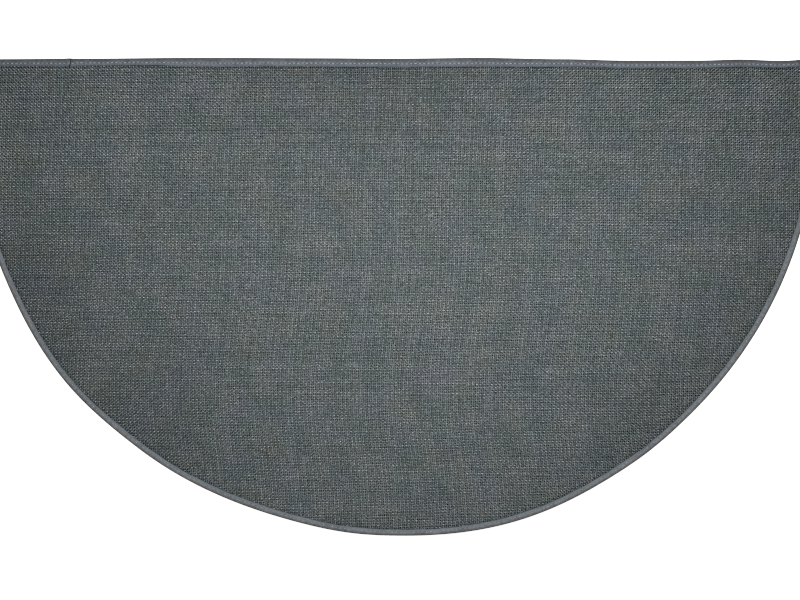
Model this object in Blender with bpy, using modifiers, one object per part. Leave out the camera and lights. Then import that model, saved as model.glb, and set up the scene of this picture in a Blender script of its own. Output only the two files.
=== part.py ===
"""A half round hearth rug: a flat woven mat with a cloth tape folded round its whole edge and sewn down.

Units are metres and +Z is up. The origin is on the floor, under the middle of the rug's box. The straight
back edge, which lies against the hearth, faces +Y, and the round front faces -Y.
"""

import math

import bmesh
import bpy
from mathutils import Vector

# The cut shape: a half circle joined to a short strip, so that the sides run straight back from it.
WIDTH = 1.2192
ARC_RADIUS = WIDTH / 2
SIDE_LENGTH = 0.0762
DEPTH = ARC_RADIUS + SIDE_LENGTH
CORNER_RADIUS = 0.020
STATION_SPACING = 0.024
CORNER_STEPS = 6

# The mat, which is thinner at its rim, where the sewing presses it between the layers of the tape.
MAT_THICKNESS = 0.0060
RIM_BOTTOM = 0.0012
RIM_TOP = 0.0054
FIELD_EDGE_ROUNDING = 0.0006
FIELD_ROUNDING_STEPS = 2
RIM_EDGE_ROUNDING = 0.00205
RIM_ROUNDING_STEPS = 4

# The tape, folded to a C round the mat's rim.
TAPE_VISIBLE_WIDTH = 0.0105
TAPE_THICKNESS = 0.0009
TAPE_HEIGHT = 0.0066
TAPE_EDGE_DROP = 0.0003
TAPE_TURN_STEPS = 6
CLEARANCE = 0.0003
GROOVE_WIDTH = 0.0008

# The tape's last end is cut on a slant and laid over its first end, near the left end of the back edge.
LAP_START_X = -0.4657
LAP_LENGTH = 0.0260
LAP_SLANT = -0.15
LAP_RISE = 0.0007
LAP_SINK = 0.00005
LAP_THICKNESS = 0.0008

# How far the sewn edge strays outwards from the cut shape, along the back edge and round the arc.
# Arc angles are in degrees from the middle of the front, with the right-hand side positive.
BACK_DRIFT = (
    # x_mm, out_mm
    (-610, 0.4),
    (-453, 1.0),
    (-309, 2.3),
    (-223, 2.3),
    (-107, 1.9),
    (-7, 1.2),
    (123, 2.4),
    (238, 0.6),
    (340, -1.6),
    (440, -1.5),
    (497, 0.0),
    (555, -1.8),
    (610, 0.2),
)
ARC_DRIFT = (
    # angle_deg, out_mm
    (-90, 0.0),
    (-68, -0.1),
    (-52, 2.9),
    (-37, -1.4),
    (-17, -4.0),
    (-3, -0.6),
    (17, 4.3),
    (34, 0.6),
    (45, -1.2),
    (68, -0.5),
    (90, 0.0),
)

MAT_COLOUR = (0.102, 0.117, 0.120, 1.0)
MAT_ROUGHNESS = 0.95
TAPE_COLOUR = (0.165, 0.181, 0.209, 1.0)
TAPE_ROUGHNESS = 0.85

WELD_DISTANCE = 1e-6
LEVEL_NORMAL_Z = 0.9
SHARP_ANGLE = math.radians(40)


def clear_scene():
    for obj in list(bpy.data.objects):
        bpy.data.objects.remove(obj)


def collection(name):
    made = bpy.data.collections.new(name)
    bpy.context.scene.collection.children.link(made)
    return made


def cloth_material(name, colour, roughness):
    material = bpy.data.materials.new(name)
    material.use_nodes = True
    shader = material.node_tree.nodes["Principled BSDF"]
    shader.inputs["Base Color"].default_value = colour
    shader.inputs["Roughness"].default_value = roughness
    shader.inputs["Metallic"].default_value = 0.0
    return material


def drift(table, at):
    """The stray in metres at this place of a table, eased from each row to the next."""
    for (low, low_out), (high, high_out) in zip(table, table[1:]):
        if at <= high:
            share = (at - low) / (high - low)
            eased = (1 - math.cos(math.pi * share)) / 2
            return (low_out + (high_out - low_out) * eased) / 1000
    return table[-1][1] / 1000


def stations():
    """Points of the cut shape, clockwise from above, each with its outward direction and the edge's stray."""
    back_y = DEPTH / 2
    arc_y = back_y - SIDE_LENGTH
    found = []

    def add(point, outward, stray):
        found.append((Vector(point), Vector(outward), stray))

    def add_corner(centre, first_degrees):
        for step in range(CORNER_STEPS + 1):
            angle = math.radians(first_degrees - 90 * step / CORNER_STEPS)
            outward = Vector((math.cos(angle), math.sin(angle)))
            add(Vector(centre) + CORNER_RADIUS * outward, outward, 0.0)

    corner_x = ARC_RADIUS - CORNER_RADIUS
    corner_y = back_y - CORNER_RADIUS
    back_steps = round(2 * corner_x / STATION_SPACING)
    for step in range(1, back_steps):
        x = -corner_x + 2 * corner_x * step / back_steps
        add((x, back_y), (0, 1), drift(BACK_DRIFT, 1000 * x))
    add_corner((corner_x, corner_y), 90)
    side_steps = round((corner_y - arc_y) / STATION_SPACING)
    for step in range(1, side_steps):
        add((ARC_RADIUS, corner_y + (arc_y - corner_y) * step / side_steps), (1, 0), 0.0)
    arc_steps = round(math.pi * ARC_RADIUS / STATION_SPACING)
    for step in range(arc_steps + 1):
        degrees = 90 - 180 * step / arc_steps
        angle = math.radians(degrees)
        outward = Vector((math.sin(angle), -math.cos(angle)))
        add(Vector((0, arc_y)) + ARC_RADIUS * outward, outward, drift(ARC_DRIFT, degrees))
    for step in range(1, side_steps):
        add((-ARC_RADIUS, arc_y + (corner_y - arc_y) * step / side_steps), (-1, 0), 0.0)
    add_corner((-corner_x, corner_y), 180)
    return found


def box_middle():
    """The middle of the sewn edge's box, which becomes the origin."""
    edge = [point + stray * outward for point, outward, stray in stations()]
    middle_x = (min(p.x for p in edge) + max(p.x for p in edge)) / 2
    middle_y = (min(p.y for p in edge) + max(p.y for p in edge)) / 2
    return Vector((middle_x, middle_y))


def outline(inset):
    """The closed outline of the rug's edge, moved inwards by inset."""
    middle = box_middle()
    return [point + (stray - inset) * outward - middle for point, outward, stray in stations()]


def back_edge_y(x):
    """The Y of the straight back edge at this X."""
    return DEPTH / 2 + drift(BACK_DRIFT, 1000 * x) - box_middle().y


def curve_object(name, points, dimensions, closed, holder):
    curve = bpy.data.curves.new(name, "CURVE")
    curve.dimensions = dimensions
    spline = curve.splines.new("POLY")
    spline.points.add(len(points) - 1)
    for spot, point in zip(spline.points, points):
        spot.co = (*point.to_3d(), 1.0)
    spline.use_cyclic_u = closed
    obj = bpy.data.objects.new(name, curve)
    holder.objects.link(obj)
    return obj


def as_mesh(curve_obj, name, holder):
    """A mesh object with the curve's evaluated shape and place, welded and facing out. The curve goes."""
    bpy.context.view_layer.update()
    graph = bpy.context.evaluated_depsgraph_get()
    mesh = bpy.data.meshes.new_from_object(curve_obj.evaluated_get(graph))
    mesh.name = name
    shape = bmesh.new()
    shape.from_mesh(mesh)
    bmesh.ops.remove_doubles(shape, verts=shape.verts, dist=WELD_DISTANCE)
    bmesh.ops.recalc_face_normals(shape, faces=shape.faces)
    shape.to_mesh(mesh)
    shape.free()
    mesh.shade_smooth()
    mesh.set_sharp_from_angle(angle=SHARP_ANGLE)
    obj = bpy.data.objects.new(name, mesh)
    obj.matrix_world = curve_obj.matrix_world
    holder.objects.link(obj)
    bpy.data.objects.remove(curve_obj)
    return obj


def merge_flat_faces(mesh):
    """Turns the filled top and bottom into one face each, so that a bevel can run along their edges."""
    shape = bmesh.new()
    shape.from_mesh(mesh)
    level = [face for face in shape.faces if abs(face.normal.z) > LEVEL_NORMAL_Z]
    bmesh.ops.dissolve_faces(shape, faces=level)
    shape.to_mesh(mesh)
    shape.free()


def plate(name, inset, bottom, top, rounding, rounding_steps, holder):
    """A flat plate with the rug's outline and rounded upper and lower edges."""
    flat = curve_object(name + "_outline", outline(inset), "2D", True, holder)
    flat.data.fill_mode = "BOTH"
    flat.data.extrude = (top - bottom) / 2
    flat.location.z = (top + bottom) / 2
    made = as_mesh(flat, name, holder)
    merge_flat_faces(made.data)
    bevel = made.modifiers.new("edge_rounding", "BEVEL")
    bevel.width = rounding
    bevel.segments = rounding_steps
    bevel.limit_method = "ANGLE"
    bevel.angle_limit = SHARP_ANGLE
    return made


def join(base, addition):
    """Joins a helper's shape to a piece."""
    addition.hide_render = True
    addition.display_type = "WIRE"
    union = base.modifiers.new("join_" + addition.name, "BOOLEAN")
    union.operation = "UNION"
    union.solver = "EXACT"
    union.object = addition


def turn_points(first_degrees, last_degrees, steps, depth):
    """Points round the tape's outer turn, this deep in the tape."""
    radius = TAPE_HEIGHT / 2
    reach = radius - depth
    found = []
    for step in range(steps + 1):
        angle = math.radians(first_degrees + (last_degrees - first_degrees) * step / steps)
        found.append((radius - reach * math.cos(angle), radius + reach * math.sin(angle)))
    return found


def tape_section():
    """The tape's C-shaped section as (distance in from the outer edge, height) points."""
    outer = [(TAPE_VISIBLE_WIDTH, TAPE_HEIGHT - TAPE_EDGE_DROP)]
    outer += [(TAPE_VISIBLE_WIDTH - 2 * TAPE_EDGE_DROP, TAPE_HEIGHT)]
    outer += turn_points(90, -90, TAPE_TURN_STEPS, 0.0)
    outer += [(TAPE_VISIBLE_WIDTH, 0.0)]
    inner = [(TAPE_VISIBLE_WIDTH, TAPE_THICKNESS)]
    inner += turn_points(-90, 90, TAPE_TURN_STEPS, TAPE_THICKNESS)
    inner += [(TAPE_VISIBLE_WIDTH, TAPE_HEIGHT - TAPE_THICKNESS)]
    return outer + inner


def lap_section():
    """The part of the tape's section that the lapped end covers: its top and half of its outer turn."""
    half_turn = TAPE_TURN_STEPS // 2
    outer = [(TAPE_VISIBLE_WIDTH, TAPE_HEIGHT)]
    outer += turn_points(90, 0, half_turn, 0.0)
    inner = turn_points(0, 90, half_turn, LAP_THICKNESS)
    inner += [(TAPE_VISIBLE_WIDTH, TAPE_HEIGHT - LAP_THICKNESS)]
    return outer + inner


def sweep(name, path, path_dimensions, closed, section, holder):
    """A section carried along a path, with the section's distance measured inwards from it."""
    section_points = [Vector(point) for point in section]
    profile = curve_object(name + "_section", section_points, "2D", True, holder)
    rail = curve_object(name + "_path", path, path_dimensions, closed, holder)
    rail.data.bevel_mode = "OBJECT"
    rail.data.bevel_object = profile
    rail.data.use_fill_caps = not closed
    made = as_mesh(rail, name, holder)
    bpy.data.objects.remove(profile)
    return made


def woven_mat(rug, helpers, material):
    """The woven panel: a thick field with a thinner rim that the tape closes on."""
    field_inset = TAPE_VISIBLE_WIDTH + GROOVE_WIDTH
    mat = plate("woven_mat", field_inset, 0.0, MAT_THICKNESS, FIELD_EDGE_ROUNDING, FIELD_ROUNDING_STEPS, rug)
    rim_inset = TAPE_THICKNESS + CLEARANCE
    rim = plate("mat_rim", rim_inset, RIM_BOTTOM, RIM_TOP, RIM_EDGE_ROUNDING, RIM_ROUNDING_STEPS, helpers)
    join(mat, rim)
    mat.data.materials.append(material)


def edge_tape(rug, helpers, material):
    """The tape round the whole edge, with its last end lapped over its first."""
    tape = sweep("edge_tape", outline(0.0), "2D", True, tape_section(), rug)
    lap_ends = (
        # x, lift
        (LAP_START_X, LAP_RISE),
        (LAP_START_X + LAP_LENGTH, -LAP_SINK),
    )
    lap_path = [Vector((x, back_edge_y(x) + lift, lift)) for x, lift in lap_ends]
    lap = sweep("tape_lap", lap_path, "3D", False, lap_section(), helpers)
    for vertex in lap.data.vertices:
        vertex.co.x += LAP_SLANT * (back_edge_y(LAP_START_X) - vertex.co.y)
    join(tape, lap)
    tape.data.materials.append(material)


def main():
    clear_scene()
    rug = collection("half_round_hearth_rug")
    helpers = collection("helpers")
    woven_mat(rug, helpers, cloth_material("woven_yarn", MAT_COLOUR, MAT_ROUGHNESS))
    edge_tape(rug, helpers, cloth_material("woven_tape", TAPE_COLOUR, TAPE_ROUGHNESS))


main()
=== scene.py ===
"""A half round hearth rug: plain-woven yarns, a folded tape round the edge and the stitches that hold it.

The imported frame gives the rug's place and size, and everything here is dressed round it. Units are metres,
+Z is up, the straight back edge faces +Y and the round front faces -Y.
"""

import math

import bpy
import numpy as np
from bpy.props import FloatProperty, FloatVectorProperty, PointerProperty
from bpy.types import Operator, Panel, PropertyGroup
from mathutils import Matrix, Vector


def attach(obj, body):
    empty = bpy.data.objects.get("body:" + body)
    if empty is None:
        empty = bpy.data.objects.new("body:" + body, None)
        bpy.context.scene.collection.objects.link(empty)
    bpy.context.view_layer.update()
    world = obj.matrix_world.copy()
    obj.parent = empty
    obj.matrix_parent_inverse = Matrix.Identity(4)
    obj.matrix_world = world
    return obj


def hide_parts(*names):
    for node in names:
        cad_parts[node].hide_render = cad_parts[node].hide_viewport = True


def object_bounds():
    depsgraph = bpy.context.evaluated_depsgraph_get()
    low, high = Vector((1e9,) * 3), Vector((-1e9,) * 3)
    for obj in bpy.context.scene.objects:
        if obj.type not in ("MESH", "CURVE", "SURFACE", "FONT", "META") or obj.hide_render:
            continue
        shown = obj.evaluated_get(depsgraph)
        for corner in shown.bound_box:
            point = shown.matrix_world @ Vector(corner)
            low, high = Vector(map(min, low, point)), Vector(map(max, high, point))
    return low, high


bl_info = {
    "name": "Half Round Hearth Rug",
    "version": (1, 0, 0),
    "blender": (4, 5, 0),
    "location": "View3D > Sidebar > Hearth Rug",
    "description": "Weaves, binds and sews a half round hearth rug round its packed frame",
    "category": "Object",
}

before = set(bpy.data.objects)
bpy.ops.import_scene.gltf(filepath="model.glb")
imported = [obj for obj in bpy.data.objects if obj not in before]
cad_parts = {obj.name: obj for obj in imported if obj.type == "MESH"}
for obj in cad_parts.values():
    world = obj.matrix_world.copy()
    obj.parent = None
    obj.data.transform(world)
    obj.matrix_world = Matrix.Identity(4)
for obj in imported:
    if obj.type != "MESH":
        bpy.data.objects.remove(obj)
cad_low, cad_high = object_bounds()

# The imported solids: the mat's rim stops this far inside the rug's outer edge, and is widest at this height.
RIM_INSET = 0.0012
RIM_MIDDLE = 0.0033

RIM_MIDDLE_TOLERANCE = 0.0001
CLOSEST_RIM_POINTS = 0.001
EDGE_POINT_SPACING = 0.001
INSET_GRID_SPACING = 0.004
BAKE_MAP = "OFBake"
WEAVE_MAP = "weave"
TAPE_MAP = "tape"
# This attribute drives the yarns' painted shade: the lower a point lies, the darker it is painted.
SHADE_LIFT = "shade_lift"
# This attribute carries the yarns' painted light and shade across the cloth.
PAINTED_LIGHT_TONE = "painted_light_tone"
# This attribute marks the lap's frayed cut end with its painted shadow, and the painted shade line of the
# crease before the lap.
FRAY_AND_SHADE = "fray_and_shade"
ARC = "arc"


# Settings that a user would change

def length_setting(name, description, default):
    return FloatProperty(name=name, description=description, default=default, unit="LENGTH")


def colour_setting(name, description, default):
    return FloatVectorProperty(name=name, description=description, default=default, subtype="COLOR")


class HearthRugCloth(PropertyGroup):
    """The woven cloth and its yarns."""

    end_spacing: length_setting(
        "End spacing", "Distance between neighbouring warp yarns, which run from back to front", 0.00277
    )
    pick_spacing: length_setting(
        "Pick spacing", "Distance between neighbouring weft yarns, which run from side to side", 0.00240
    )
    cloth_top: length_setting("Cloth top", "Height of the highest yarns above the floor", 0.0061)
    warp_width: length_setting("Warp width", "Width of a warp yarn where it floats", 0.0023)
    weft_width: length_setting("Weft width", "Width of a weft yarn where it floats", 0.00235)
    float_drop: length_setting(
        "Float drop", "How far a yarn goes down from its float to where it passes under another", 0.0026
    )
    light_warp_colour: colour_setting(
        "Light warp colour", "Colour of every second warp yarn", (0.156, 0.177, 0.179)
    )
    dark_warp_colour: colour_setting(
        "Dark warp colour", "Colour of the warp yarns between those", (0.138, 0.158, 0.160)
    )
    light_weft_colour: colour_setting(
        "Light weft colour", "Colour of every second weft yarn", (0.286, 0.320, 0.323)
    )
    dark_weft_colour: colour_setting(
        "Dark weft colour", "Colour of the weft yarns between those", (0.191, 0.218, 0.221)
    )
    # Painted shade: this colour stands for the shade deep between the yarns.
    painted_shade_colour: colour_setting("Shade colour", "Colour deep between the yarns", (0.0135, 0.0207, 0.0217))


class HearthRugTape(PropertyGroup):
    """The binding tape and its sewing."""

    width: length_setting("Tape width", "Usual width of tape that shows on top", 0.0106)
    stitch_pitch: length_setting("Stitch pitch", "Distance from one stitch to the next", 0.00623)
    stitch_length: length_setting("Stitch length", "Length of thread that shows in a stitch", 0.0038)
    thread_width: length_setting("Thread width", "Width of the sewing thread", 0.0016)
    # The tape colour also carries a painted highlight along the row of stitches, and the dull colour carries
    # painted shade on the tape's slopes.
    colour: colour_setting("Tape colour", "Colour of the tape", (0.209, 0.236, 0.270))
    dull_and_shaded_colour: colour_setting(
        "Dull tape colour", "Colour of the tape away from the row of stitches", (0.152, 0.163, 0.176)
    )
    inner_colour: colour_setting(
        "Inner edge colour",
        "Colour of the tape at its inner edge, where dust hasn't dulled it",
        (0.141, 0.166, 0.190),
    )
    fold_colour: colour_setting("Fold colour", "Colour of the tape's worn outer fold", (0.150, 0.141, 0.131))
    # The cut end colour stands for the frayed cut end and for the painted shadow of the lap's raised end.
    cut_end_and_shadow_colour: colour_setting(
        "Cut end colour", "Colour of the tape's cut end at the lap", (0.060, 0.057, 0.066)
    )
    thread_colour: colour_setting("Thread colour", "Colour of the sewing thread", (0.40, 0.455, 0.51))


class HearthRugStage(PropertyGroup):
    """The floor, the lights and the camera."""

    floor_colour: colour_setting("Floor colour", "Colour of the plain floor", (0.9, 0.9, 0.9))
    overhead_power: FloatProperty(
        name="Overhead power",
        description="Power of the soft lights above the rug",
        default=7.95,
        unit="POWER",
    )


# Lines and distances that follow the rug's edge

class EdgeLine:
    """The rug's outer edge as a closed line of points, clockwise from above, with outward directions."""

    def __init__(self):
        solid = np.array([v.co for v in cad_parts["woven_mat"].data.vertices])
        widest = solid[np.abs(solid[:, 2] - RIM_MIDDLE) < RIM_MIDDLE_TOLERANCE, :2]
        widest = widest[np.argsort(-np.arctan2(widest[:, 1], widest[:, 0]))]
        apart = np.linalg.norm(widest - np.roll(widest, 1, 0), axis=1) > CLOSEST_RIM_POINTS
        points, outward = smooth_loop(widest[apart])
        self.points = points + RIM_INSET * outward
        self.outward = outward
        gaps = np.linalg.norm(np.roll(self.points, -1, 0) - self.points, axis=1)
        self.length = gaps.sum()
        self.distances = np.concatenate(([0.0], np.cumsum(gaps)))

    def place(self, distance):
        """The points and outward directions at these distances along the edge."""
        wrapped = np.mod(distance, self.length)
        found = []
        for values in (self.points, self.outward):
            closed = np.vstack([values, values[:1]])
            found.append(np.stack([np.interp(wrapped, self.distances, closed[:, k]) for k in (0, 1)], -1))
        found[1] /= np.linalg.norm(found[1], axis=-1, keepdims=True)
        return found

    def inset_of(self, x, y):
        """How far inside the edge these points are, read from a grid of distances."""
        margin = 2 * INSET_GRID_SPACING
        xs = np.arange(cad_low.x - margin, cad_high.x + margin, INSET_GRID_SPACING)
        ys = np.arange(cad_low.y - margin, cad_high.y + margin, INSET_GRID_SPACING)
        grid = np.empty((len(ys), len(xs)))
        points, outward = self.points[::2], self.outward[::2]
        for row, level in enumerate(ys):
            away = np.stack(np.broadcast_arrays(xs[:, None] - points[:, 0], level - points[:, 1]), -1)
            squares = (away**2).sum(-1)
            nearest = squares.argmin(1)
            side = (away[np.arange(len(xs)), nearest] * outward[nearest]).sum(-1)
            grid[row] = -np.sign(side) * np.sqrt(squares.min(1))
        column = np.clip((x - xs[0]) / INSET_GRID_SPACING, 0, len(xs) - 1.001)
        line = np.clip((y - ys[0]) / INSET_GRID_SPACING, 0, len(ys) - 1.001)
        i, j = column.astype(int), line.astype(int)
        s, t = column - i, line - j
        near = grid[j, i] * (1 - s) + grid[j, i + 1] * s
        far = grid[j + 1, i] * (1 - s) + grid[j + 1, i + 1] * s
        return near * (1 - t) + far * t


def smooth_loop(corners):
    """Close points on a smooth closed curve through the corners, with the outward direction at each."""
    gaps = np.linalg.norm(np.roll(corners, -1, 0) - corners, axis=1)
    slopes = (np.roll(corners, -1, 0) - np.roll(corners, 1, 0)) / (gaps + np.roll(gaps, 1))[:, None]
    start = np.concatenate(([0.0], np.cumsum(gaps)))
    count = round(start[-1] / EDGE_POINT_SPACING)
    at = np.arange(count) * start[-1] / count
    low = np.searchsorted(start, at, "right") - 1
    high = (low + 1) % len(corners)
    t = ((at - start[low]) / gaps[low])[:, None]
    reach = gaps[low][:, None]
    points = (2 * t**3 - 3 * t**2 + 1) * corners[low] + (3 * t**2 - 2 * t**3) * corners[high]
    points += (t**3 - 2 * t**2 + t) * slopes[low] * reach + (t**3 - t**2) * slopes[high] * reach
    along = np.roll(points, -1, 0) - np.roll(points, 1, 0)
    along /= np.linalg.norm(along, axis=1)[:, None]
    return points, np.stack([-along[:, 1], along[:, 0]], 1)


def smoothstep(share):
    share = np.clip(share, 0.0, 1.0)
    return share * share * (3 - 2 * share)


# Making pieces

def new_mesh_object(name, vertices, faces):
    mesh = bpy.data.meshes.new(name)
    mesh.from_pydata(vertices.tolist(), [], faces, shade_flat=False)
    obj = bpy.data.objects.new(name, mesh)
    bpy.context.scene.collection.objects.link(obj)
    return obj


def add_map(obj, name, at_corners):
    """A UV map with these values, one for each face corner."""
    layer = obj.data.uv_layers.new(name=name)
    layer.uv.foreach_set("vector", np.ascontiguousarray(at_corners, np.float32).ravel())


def add_number(obj, name, at_vertices):
    """A float attribute with one value for each vertex."""
    numbers = obj.data.attributes.new(name, "FLOAT", "POINT")
    numbers.data.foreach_set("value", np.ascontiguousarray(at_vertices, np.float32).ravel())


def corner_vertices(obj):
    """The vertex of each face corner."""
    corners = np.empty(len(obj.data.loops), np.int32)
    obj.data.loops.foreach_get("vertex_index", corners)
    return corners


def map_from_above(vertices):
    """Map positions that spread the rug's plan over the whole map."""
    low = np.array([cad_low.x, cad_low.y])
    size = np.array([cad_high.x - cad_low.x, cad_high.y - cad_low.y])
    return np.clip((vertices[:, :2] - low) / size, 0.0, 1.0)


def finish_piece(obj, material, slot, *stands_for):
    """Give a piece its material, its body and the solids it stands for, which it hides. Its slot is not used.
    """
    obj.data.materials.append(material)
    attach(obj, "root")
    if stands_for:
        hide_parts(*stands_for)
    return obj


# Making materials

def add_node(tree, kind, settings=None, values=None):
    """A node with these settings, and with each input given a value or linked from a socket."""
    node = tree.nodes.new(kind)
    for name, value in (settings or {}).items():
        setattr(node, name, value)
    for name, value in (values or {}).items():
        if isinstance(value, bpy.types.NodeSocket):
            tree.links.new(value, node.inputs[name])
        else:
            node.inputs[name].default_value = value
    return node


def maths(tree, operation, first, second=0.0, third=0.0):
    node = add_node(tree, "ShaderNodeMath", {"operation": operation}, {0: first, 1: second, 2: third})
    return node.outputs[0]


def stray(tree, value, reach, middle):
    """A number that strays from the middle as the value does from a half."""
    return maths(tree, "MULTIPLY_ADD", maths(tree, "SUBTRACT", value, 0.5), reach, middle)


def vector_maths(tree, operation, *values):
    settings = {"operation": operation}
    return add_node(tree, "ShaderNodeVectorMath", settings, dict(enumerate(values))).outputs[0]


def scaled(tree, colour, tone):
    values = {0: colour, "Scale": tone}
    return add_node(tree, "ShaderNodeVectorMath", {"operation": "SCALE"}, values).outputs[0]


def parts_of(tree, vector):
    """A vector's X, Y and Z."""
    return add_node(tree, "ShaderNodeSeparateXYZ", None, {0: vector}).outputs


def object_place(tree):
    return add_node(tree, "ShaderNodeTexCoord").outputs["Object"]


def attribute(tree, name):
    return add_node(tree, "ShaderNodeAttribute", {"attribute_name": name}).outputs["Fac"]


def noise(tree, vector, scale, detail, roughness=0.5, dimensions="3D"):
    values = {"Vector": vector, "Scale": scale, "Detail": detail, "Roughness": roughness}
    return add_node(tree, "ShaderNodeTexNoise", {"noise_dimensions": dimensions}, values).outputs


def smooth_range(tree, value, low, high, first=0.0, last=1.0):
    """Smoothly from the first number to the last, as the value goes from low to high."""
    values = {"Value": value, "From Min": low, "From Max": high, "To Min": first, "To Max": last}
    settings = {"interpolation_type": "SMOOTHSTEP"}
    return add_node(tree, "ShaderNodeMapRange", settings, values).outputs["Result"]


def add_bump(tree, shader, strength, distance, height):
    values = {"Strength": strength, "Distance": distance, "Height": height}
    bump = add_node(tree, "ShaderNodeBump", None, values)
    tree.links.new(bump.outputs[0], shader.inputs["Normal"])


def mixed(tree, share, first, second):
    """One colour mixed into another."""
    settings = {"data_type": "RGBA", "blend_type": "MIX"}
    node = add_node(tree, "ShaderNodeMix", settings, {0: share, 6: first, 7: second})
    return node.outputs[2]


def new_group(name, inputs, outputs):
    """An empty node group with named sockets, and its input and output nodes."""
    tree = bpy.data.node_groups.new(name, "ShaderNodeTree")
    for socket_name, kind, default in inputs:
        socket = tree.interface.new_socket(socket_name, in_out="INPUT", socket_type=kind)
        if default is not None:
            socket.default_value = default
    for socket_name, kind in outputs:
        tree.interface.new_socket(socket_name, in_out="OUTPUT", socket_type=kind)
    entry = tree.nodes.new("NodeGroupInput")
    leave = tree.nodes.new("NodeGroupOutput")
    return tree, entry, leave


# How the yarns vary: the stretch of the light and dark places along a yarn, and how far patches of the cloth
# stray in tone, and in red, green and blue from these shares.
LENGTH_STRETCH = (0.045, 3.7, 0.0)
PATCH_SPREAD = 0.6
HUE_SPREAD = (0.26, 0.0, 0.31)
PLAIN_HUE = (0.867, 1.0, 0.847)


def spun_yarn_group():
    """Tone and fibre relief of a spun yarn, varied by yarn, by float and along the yarn's length."""
    name = "spun yarn"
    if name in bpy.data.node_groups:
        return bpy.data.node_groups[name]
    inputs = (
        # name, kind, default
        ("Weave", "NodeSocketVector", None),
        ("Float spread", "NodeSocketFloat", 0.8),
        ("Yarn spread", "NodeSocketFloat", 0.3),
        ("Length spread", "NodeSocketFloat", 0.4),
        ("Fibre spread", "NodeSocketFloat", 6.0),
    )
    outputs = (
        # name, kind
        ("Tone", "NodeSocketFloat"),
        ("Tint", "NodeSocketColor"),
        ("Relief", "NodeSocketFloat"),
    )
    tree, entry, leave = new_group(name, inputs, outputs)
    crossing = vector_maths(tree, "FLOOR", vector_maths(tree, "ADD", entry.outputs["Weave"], (0.5, 0.5, 0.0)))
    each_float = add_node(tree, "ShaderNodeTexWhiteNoise", {"noise_dimensions": "2D"}, {"Vector": crossing})
    number = parts_of(tree, crossing)["Y"]
    each_yarn = add_node(tree, "ShaderNodeTexWhiteNoise", {"noise_dimensions": "1D"}, {"W": number})
    stretched = vector_maths(tree, "MULTIPLY", entry.outputs["Weave"], LENGTH_STRETCH)
    along = noise(tree, stretched, scale=1.0, detail=3.0, roughness=0.6, dimensions="2D")
    place = object_place(tree)
    fibre = noise(tree, place, scale=1300.0, detail=1.0, roughness=0.6)
    patches = noise(tree, place, scale=22.0, detail=2.0)
    power = 0.0
    for value, spread in (
        (each_float.outputs["Value"], entry.outputs["Float spread"]),
        (each_yarn.outputs["Value"], entry.outputs["Yarn spread"]),
        (along["Fac"], entry.outputs["Length spread"]),
        (fibre["Fac"], entry.outputs["Fibre spread"]),
        (patches["Fac"], PATCH_SPREAD),
    ):
        power = stray(tree, value, spread, power)
    tree.links.new(maths(tree, "POWER", 2.0, power), leave.inputs["Tone"])
    tint = vector_maths(tree, "MULTIPLY_ADD", patches["Color"], HUE_SPREAD, PLAIN_HUE)
    tree.links.new(tint, leave.inputs["Tint"])
    tree.links.new(fibre["Fac"], leave.inputs["Relief"])
    return tree


def cloth_material(name, roughness):
    """A material with a dry, slightly fuzzy surface. It returns its tree and shader too."""
    material = bpy.data.materials.new(name)
    material.use_nodes = True
    tree = material.node_tree
    shader = tree.nodes["Principled BSDF"]
    shader.inputs["Roughness"].default_value = roughness
    shader.inputs["Specular IOR Level"].default_value = 0.25
    shader.inputs["Sheen Weight"].default_value = 0.15
    shader.inputs["Sheen Roughness"].default_value = 0.5
    return material, tree, shader


def yarn_material(name, colour, cloth):
    """Spun yarn, darkened by painted shade down between its neighbours and in the groove by the tape, and
    lightened or darkened by painted light and shade across the cloth.
    """
    material, tree, shader = cloth_material(name, 0.9)
    weave = add_node(tree, "ShaderNodeUVMap", {"uv_map": WEAVE_MAP})
    spun = add_node(tree, "ShaderNodeGroup", {"node_tree": spun_yarn_group()}, {"Weave": weave.outputs[0]})
    # Painted shade: the lower a point of the yarn lies, the more its colour goes to the shade colour.
    painted_lit_share = smooth_range(tree, attribute(tree, SHADE_LIFT), PAINTED_SHADE_FROM, PAINTED_SHADE_TO)
    # Painted light and shade: the yarn's tone is scaled by its attribute of painted light and shade.
    tone = maths(tree, "MULTIPLY", spun.outputs["Tone"], attribute(tree, PAINTED_LIGHT_TONE))
    tinted = vector_maths(tree, "MULTIPLY", scaled(tree, tuple(colour), tone), spun.outputs["Tint"])
    base = mixed(tree, painted_lit_share, (*cloth.painted_shade_colour, 1.0), tinted)
    tree.links.new(base, shader.inputs["Base Color"])
    add_bump(tree, shader, strength=0.6, distance=0.0004, height=spun.outputs["Relief"])
    return material


# The woven yarns

# A yarn's colour goes from painted deep shade to its full tone between these shares of its drop.
PAINTED_SHADE_FROM = -0.80
PAINTED_SHADE_TO = -0.25

# Where a yarn floats over another: a flat-topped mound with round sides.
FLOAT_SECTION = (
    # along, as a share of the reach; across, in half widths; height, as a share of the drop
    (-1.0, -1.0, -0.60),
    (-1.0, 0.0, 0.0),
    (-1.0, 1.0, -0.60),
    (1.0, -1.0, -0.60),
    (1.0, 0.0, 0.0),
    (1.0, 1.0, -0.60),
)
# How far a float stays at the top each way from its middle, in crossings.
WEFT_REACH = 0.29
WARP_REACH = 0.38
# Painted shade in the groove beside the tape: how far a pressed yarn's colour is pushed towards the shade
# colour.
PAINTED_GROOVE_SHADE = 0.22

# The ends and picks lie a little wider apart towards the right and the back: by this share a metre.
END_SPACING_GROWTH = 0.068
PICK_SPACING_GROWTH = 0.090

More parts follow.
